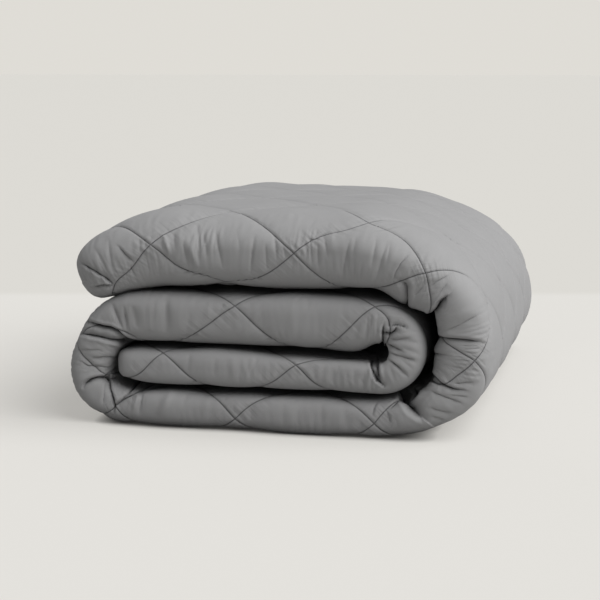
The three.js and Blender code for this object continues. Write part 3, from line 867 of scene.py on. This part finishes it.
def smooth_noise(rng, along, across, along_size, across_size):
    """A soft random field on the cloth with patches of about the given sizes, mostly between -2 and 2."""
    field = np.zeros_like(along)
    for _ in range(NOISE_WAVES):
        turn = rng.normal(0.0, 1.0 / along_size), rng.normal(0.0, 1.0 / across_size)
        field += np.cos(turn[0] * along + turn[1] * across + rng.uniform(0.0, 2 * math.pi))
    return field * math.sqrt(2.0 / NOISE_WAVES)


def settle(cover, smooth, points, normals):
    """Lets the cloth of the front fold relax over its filling. Along the roll it is longer than its space
    between the sewn lines, so it puckers across that way, most on the inside of the turns."""
    rows = cover.fold_rows()
    base = points[:, rows]
    counts, quilt_rows = np.meshgrid(cover.counts, cover.rows[rows], indexing="ij")
    along = along_at(counts)
    across = across_at(cover.counts, cover.rows[rows])
    first, second = seam_distances_at(counts, quilt_rows)
    fold_end = FREE_FOLD * roll_at(along, "half")
    is_covered = (across > fold_end) & ~is_within(along, FREE_STRETCHES) | (across < -fold_end)
    ease = np.where((np.minimum(first, second) < SEWN_WIDTH) | is_covered, 0.0, 1.0)
    ease[:, [0, -1]] = 0.0
    ease[[0, -1]] = 0.0

    rng = np.random.default_rng(SEED)
    patches = np.clip(smooth_noise(rng, along, across, PATCH_ALONG, PATCH_ACROSS), 0.0, PATCH_MOST)
    slack = SIM_SLACK * bell((across - SLACK_MIDDLE) / SLACK_REACH) * patches
    gathers = SEAM_SLACK * np.exp(-(first + second) / SEAM_SLACK_REACH)
    slack += gathers * bell(across / SLACK_REACH)
    neutral = np.abs(np.diff(along_at(cover.counts)))[:, None]
    spare = np.clip(neutral / grid_lengths(smooth[:, rows], (1, 0)) - 1.0, 0.0, TURN_SLACK_MOST)
    slack[1:] += TURN_SLACK * spare
    slack *= 1.0 - bell((along - CALM_PLACE) / CALM_REACH)
    rests = {}
    for step in SIM_STIFFNESS:
        lengths = grid_lengths(base, step)
        longer = slack[:lengths.shape[0], :lengths.shape[1]]
        along_part = grid_lengths(base, (step[0], 0))[:, :lengths.shape[1]] / lengths if step[0] else 0.0
        rests[step] = lengths * (1.0 + longer * np.minimum(along_part, 1.0) ** 2)

    ripple = smooth_noise(rng, along, across, RIPPLE_ALONG, RIPPLE_ACROSS)
    settled = base + normals[:, rows] * (ripple * ease * RIPPLE_HEIGHT)[..., None]
    for _ in range(SIM_STEPS):
        for step, stiffness in SIM_STIFFNESS.items():
            draw_together(settled, ease, rests[step], step, stiffness)
        settled += (base - settled) * (SIM_FILLING * ease)[..., None]
    move = settled - base
    length = np.linalg.norm(move, axis=-1, keepdims=True)
    result = points.copy()
    result[:, rows] += move * np.tanh(length / SIM_CAP) * SIM_CAP / np.maximum(length, TINY)
    return result


def make_duvet():
    """The duvet as one closed mesh: pillows between the sewn lines, cloth that settles, then creases."""
    cover = Cover()
    smooth = duvet_points(cover.counts, cover.rows)
    normals = grid_normals(smooth)
    shaped = smooth + normals * quilt_relief(cover.counts, cover.rows)[..., None]
    shaped = settle(cover, smooth, shaped, normals)
    fold = cover.fold_rows()
    along = along_at(cover.counts)
    shaped[:, fold] += crease_moves(along, cover.rows[fold], shaped[:, fold], normals[:, fold])

    cover_count = len(cover.column_of)
    lining_points, lining_triangles, lining_columns, lining_rows = lining_mesh(cover, cover_count)
    points = np.concatenate([shaped[cover.column_of, cover.row_of], lining_points])
    points[:, 2] = np.maximum(points[:, 2], 0.0)
    triangles = np.concatenate([cover.cover_triangles, lining_triangles])
    duvet = new_mesh_object("quilted_duvet", points, triangles)
    columns = np.concatenate([cover.column_of, lining_columns])
    rows = np.concatenate([cover.row_of, lining_rows])
    quilt_place = np.stack([cover.counts[columns], cover.rows[rows]], axis=-1)
    corners = corner_vertices(duvet.data)
    add_uv_map(duvet.data, "quilt", quilt_place[corners])
    add_uv_map(duvet.data, "OFBake", bake_places(quilt_place, corners, cover_count))
    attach(duvet, "root")
    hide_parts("duvet")
    return duvet


# Light and floor
FLOOR_REACH = 60.0
FLOOR_COLOR = (0.44, 0.435, 0.42, 1.0)
FLOOR_ROUGHNESS = 0.9
FLOOR_SPECULAR = 0.1
FLOOR_GLOW = (0.355, 0.345, 0.325, 1.0)
FLOOR_FAR_GLOW = (0.305, 0.295, 0.27, 1.0)
FLOOR_LINE = 0.80
FLOOR_LINE_BLEND = 0.08
# Painted contact shadow: reach within which the floor's glow darkens near the object
PAINTED_CONTACT_SHADOW_REACH = 0.016
BACKDROP_COLOR = (0.74, 0.72, 0.675, 1.0)
AMBIENT_COLOR = (0.265, 0.265, 0.265, 1.0)
KEY_DIRECTION = (0.67, -0.13, 0.73)
KEY_SPREAD = math.radians(60)
KEY_STRENGTH = 2.95
KEY_COLOR = (1.0, 0.995, 0.985)

# The cover's cloth: its tone and fibres, the sewn lines with painted shade along their grooves and their
# stitches, the painted shade that darkens hollows, gaps and creases, the gathers beside the lines and the
# weave
COVER_DARK = (0.325, 0.325, 0.330, 1.0)
COVER_LIGHT = (0.385, 0.385, 0.390, 1.0)
TONE_SCALE = 22.0
TONE_DETAIL = 3.0
TONE_SHARE = 0.6
FIBRE_SCALE = 900.0
FIBRE_DETAIL = 2.0
FIBRE_SHARE = 0.4
FIBRE_HEIGHT = 0.00008
ROUGHNESS_LOW = 0.80
ROUGHNESS_HIGH = 0.92
SPECULAR = 0.25
SHEEN = 0.12
SHEEN_ROUGHNESS = 0.5
SHEEN_COLOR = (0.9, 0.9, 0.92, 1.0)
# Sewn lines: a near black line as painted shade of the groove, and thread darker than the cloth, also as
# painted shade of the groove
LINE_WIDTH = 0.0009
LINE_CORE_SHARE = 0.35
LINE_SHADE_COLOR = (0.09, 0.09, 0.092, 1.0)
LINE_DEPTH = 0.0006
STITCH = 0.0034
STITCH_SHARE = 0.34
STITCH_FADE = 0.06
THREAD_WIDTH = 0.0006
THREAD_CORE_SHARE = 0.5
SHADED_THREAD_COLOR = (0.20, 0.20, 0.205, 1.0)
THREAD_HEIGHT = 0.0005
# Painted shade: the cloth's colour darkens towards near black in hollows, gaps and deep creases, the more
# closed in they are
PAINTED_SHADE_REACH = 0.030
PAINTED_SHADE_CLOSED = 0.18
PAINTED_SHADE_OPEN = 0.64
PAINTED_SHADE_COLOR = (0.004, 0.004, 0.004, 1.0)
PAINTED_SHADE_SAMPLES = 2
GATHER_SIZE = 0.010
GATHER_REACH = 0.030
GATHER_HEIGHT = 0.0016
WEAVE = 0.0011
WEAVE_HEIGHT = 0.00003
TO_NEAREST_WHOLE = 0.5


class Nodes:
    """Short forms for the nodes of a material or a world."""

    def __init__(self, owner):
        owner.use_nodes = True
        self.tree = owner.node_tree

    def fill(self, node, inputs):
        """Sets a node's inputs, which are values or outputs of other nodes."""
        for place, value in inputs.items():
            if isinstance(value, bpy.types.NodeSocket):
                self.tree.links.new(value, node.inputs[place])
            else:
                node.inputs[place].default_value = value

    def add(self, kind, inputs, **settings):
        """The outputs of a new node with these inputs and settings."""
        node = self.tree.nodes.new(kind)
        for name, value in settings.items():
            setattr(node, name, value)
        self.fill(node, inputs)
        return node.outputs

    def calculate(self, operation, *values):
        return self.add("ShaderNodeMath", dict(enumerate(values)), operation=operation)["Value"]

    def noise(self, place, scale, detail):
        inputs = {"Vector": place, "Scale": scale, "Detail": detail}
        return self.add("ShaderNodeTexNoise", inputs)["Fac"]

    def mix(self, first, second, share):
        """A colour between two, with the second one's share."""
        inputs = {"A": first, "B": second, "Factor": share}
        return self.add("ShaderNodeMix", inputs, data_type="RGBA")["Result"]

    def ramp(self, value, start, end, before=0.0, after=1.0):
        """A soft change from one number, up to the start, to another, from the end on."""
        inputs = {"Value": value, "From Min": start, "From Max": end, "To Min": before, "To Max": after}
        return self.add("ShaderNodeMapRange", inputs, interpolation_type="SMOOTHSTEP")["Result"]


def make_camera():
    """A camera at the photograph's viewing angle."""
    camera = bpy.data.objects.new("camera", bpy.data.cameras.new("camera"))
    camera.data.lens = LENS
    camera.data.sensor_width = SENSOR
    camera.location = CAMERA_PLACE
    _, _, forward = camera_axes()
    camera.rotation_euler = Vector(forward).to_track_quat("-Z", "Y").to_euler()
    bpy.context.scene.collection.objects.link(camera)
    bpy.context.scene.camera = camera


def make_key():
    """A far soft light from the right and above."""
    light = bpy.data.lights.new("key", "SUN")
    light.angle = KEY_SPREAD
    light.energy = KEY_STRENGTH
    light.color = KEY_COLOR
    lamp = bpy.data.objects.new("key", light)
    lamp.rotation_euler = Vector(KEY_DIRECTION).to_track_quat("Z", "Y").to_euler()
    bpy.context.scene.collection.objects.link(lamp)


def make_world():
    """A pale backdrop for the camera, and a dim even light from all around for everything else."""
    world = bpy.data.worlds.new("studio")
    bpy.context.scene.world = world
    nodes = Nodes(world)
    backdrop = world.node_tree.nodes["Background"]
    nodes.fill(backdrop, {"Color": BACKDROP_COLOR})
    ambient = nodes.add("ShaderNodeBackground", {"Color": AMBIENT_COLOR})["Background"]
    is_seen = nodes.add("ShaderNodeLightPath", {})["Is Camera Ray"]
    inputs = {"Fac": is_seen, 1: ambient, 2: backdrop.outputs["Background"]}
    light = nodes.add("ShaderNodeMixShader", inputs)["Shader"]
    nodes.fill(world.node_tree.nodes["World Output"], {"Surface": light})


def make_floor():
    """A pale floor that changes tone a little behind the object, with a painted contact shadow that darkens
    it where something is close.
    """
    corners = [(x, y, 0.0) for y in (-FLOOR_REACH, FLOOR_REACH) for x in (-FLOOR_REACH, FLOOR_REACH)]
    floor = new_mesh_object("floor", np.array(corners), np.array([(0, 1, 3), (0, 3, 2)]))
    material = bpy.data.materials.new("pale_floor")
    nodes = Nodes(material)
    place = nodes.add("ShaderNodeNewGeometry", {})["Position"]
    inputs = {0: place, 1: CAMERA_LEVEL}
    depth = nodes.add("ShaderNodeVectorMath", inputs, operation="DOT_PRODUCT")["Value"]
    is_far = nodes.ramp(depth, FLOOR_LINE, FLOOR_LINE + FLOOR_LINE_BLEND)
    glow = nodes.mix(FLOOR_GLOW, FLOOR_FAR_GLOW, is_far)
    # Painted contact shadow: the floor's glow darkens where the object is close
    inputs = {"Color": glow, "Distance": PAINTED_CONTACT_SHADOW_REACH}
    nodes.fill(material.node_tree.nodes["Principled BSDF"], {
        "Base Color": FLOOR_COLOR,
        "Roughness": FLOOR_ROUGHNESS,
        "Specular IOR Level": FLOOR_SPECULAR,
        "Emission Color": nodes.add("ShaderNodeAmbientOcclusion", inputs)["Color"],
        "Emission Strength": nodes.add("ShaderNodeLightPath", {})["Is Camera Ray"],
    })
    floor.data.materials.append(material)


def sewn_lines(nodes, count, row):
    """Where the cloth shows a sewn line, which gets its groove and its painted shade, and where its thread,
    and how full the gathers beside it are.
    """
    rising = nodes.calculate("ADD", count, row)
    falling = nodes.calculate("SUBTRACT", count, row)
    spacing = DIAMOND / math.sqrt(2.0)
    lines, stitches, gathers = [], [], []
    for across_line, along_line in ((rising, falling), (falling, rising)):
        aside = nodes.calculate("PINGPONG", across_line, TO_NEAREST_WHOLE)
        away = nodes.calculate("MULTIPLY", aside, spacing)
        lines.append(nodes.ramp(away, LINE_WIDTH * LINE_CORE_SHARE, LINE_WIDTH, 1.0, 0.0))
        stitch_count = nodes.calculate("MULTIPLY", along_line, spacing / STITCH)
        beat = nodes.calculate("PINGPONG", stitch_count, TO_NEAREST_WHOLE)
        is_stitch = nodes.ramp(beat, STITCH_SHARE, STITCH_SHARE + STITCH_FADE, 1.0, 0.0)
        is_thread = nodes.ramp(away, THREAD_WIDTH * THREAD_CORE_SHARE, THREAD_WIDTH, 1.0, 0.0)
        stitches.append(nodes.calculate("MULTIPLY", is_stitch, is_thread))
        inputs = {"W": along_line, "Scale": spacing / GATHER_SIZE}
        folds = nodes.add("ShaderNodeTexNoise", inputs, noise_dimensions="1D")["Fac"]
        gathers.append(nodes.calculate("MULTIPLY", folds, nodes.ramp(away, 0.0, GATHER_REACH, 1.0, 0.0)))
    return (
        nodes.calculate("MAXIMUM", *lines),
        nodes.calculate("MAXIMUM", *stitches),
        nodes.calculate("ADD", *gathers),
    )


def make_cloth():
    """Matte grey microfibre: a fine weave, soft uneven tone, sewn lines of single stitches, and painted shade
    along the lines and in hollows.
    """
    material = bpy.data.materials.new("grey_cover")
    nodes = Nodes(material)
    quilt = nodes.add("ShaderNodeUVMap", {}, uv_map="quilt")["UV"]
    split = nodes.add("ShaderNodeSeparateXYZ", {"Vector": quilt})
    line, stitch, gathers = sewn_lines(nodes, split["X"], split["Y"])
    place = nodes.add("ShaderNodeVectorMath", {0: quilt, "Scale": DIAMOND}, operation="SCALE")["Vector"]
    tone = nodes.noise(place, TONE_SCALE, TONE_DETAIL)
    fibres = nodes.noise(place, FIBRE_SCALE, FIBRE_DETAIL)

    fibre_shade = nodes.calculate("MULTIPLY", fibres, FIBRE_SHARE)
    plain = nodes.mix(COVER_DARK, COVER_LIGHT, nodes.calculate("MULTIPLY_ADD", tone, TONE_SHARE, fibre_shade))
    # Painted shade: the sewn line near black and its thread darker than the cloth, for the shade in the
    # groove
    threaded = nodes.mix(nodes.mix(plain, LINE_SHADE_COLOR, line), SHADED_THREAD_COLOR, stitch)
    # Painted shade: hollows, gaps and creases darkened towards black in the cloth's colour
    inputs = {"Distance": PAINTED_SHADE_REACH}
    openness = nodes.add("ShaderNodeAmbientOcclusion", inputs, samples=PAINTED_SHADE_SAMPLES)["AO"]
    color = nodes.mix(PAINTED_SHADE_COLOR, threaded, nodes.ramp(openness, PAINTED_SHADE_CLOSED, PAINTED_SHADE_OPEN))
    inputs = {"Value": tone, "To Min": ROUGHNESS_LOW, "To Max": ROUGHNESS_HIGH}
    roughness = nodes.add("ShaderNodeMapRange", inputs)["Result"]

    turns = [nodes.calculate("MULTIPLY", split[axis], DIAMOND / WEAVE * 2 * math.pi) for axis in ("X", "Y")]
    weave = nodes.calculate("MULTIPLY", *[nodes.calculate("SINE", turn) for turn in turns])
    height = nodes.calculate("MULTIPLY", fibres, FIBRE_HEIGHT)
    reliefs = [(weave, WEAVE_HEIGHT), (stitch, THREAD_HEIGHT), (line, -LINE_DEPTH), (gathers, GATHER_HEIGHT)]
    for relief, full_height in reliefs:
        height = nodes.calculate("MULTIPLY_ADD", relief, full_height, height)
    nodes.fill(material.node_tree.nodes["Principled BSDF"], {
        "Base Color": color,
        "Roughness": roughness,
        "Normal": nodes.add("ShaderNodeBump", {"Height": height, "Distance": 1.0})["Normal"],
        "Specular IOR Level": SPECULAR,
        "Sheen Weight": SHEEN,
        "Sheen Roughness": SHEEN_ROUGHNESS,
        "Sheen Tint": SHEEN_COLOR,
    })
    return material


bpy.context.scene.view_settings.view_transform = "Standard"
make_camera()
make_world()
make_floor()
make_key()
duvet = make_duvet()
duvet.data.materials.append(make_cloth())
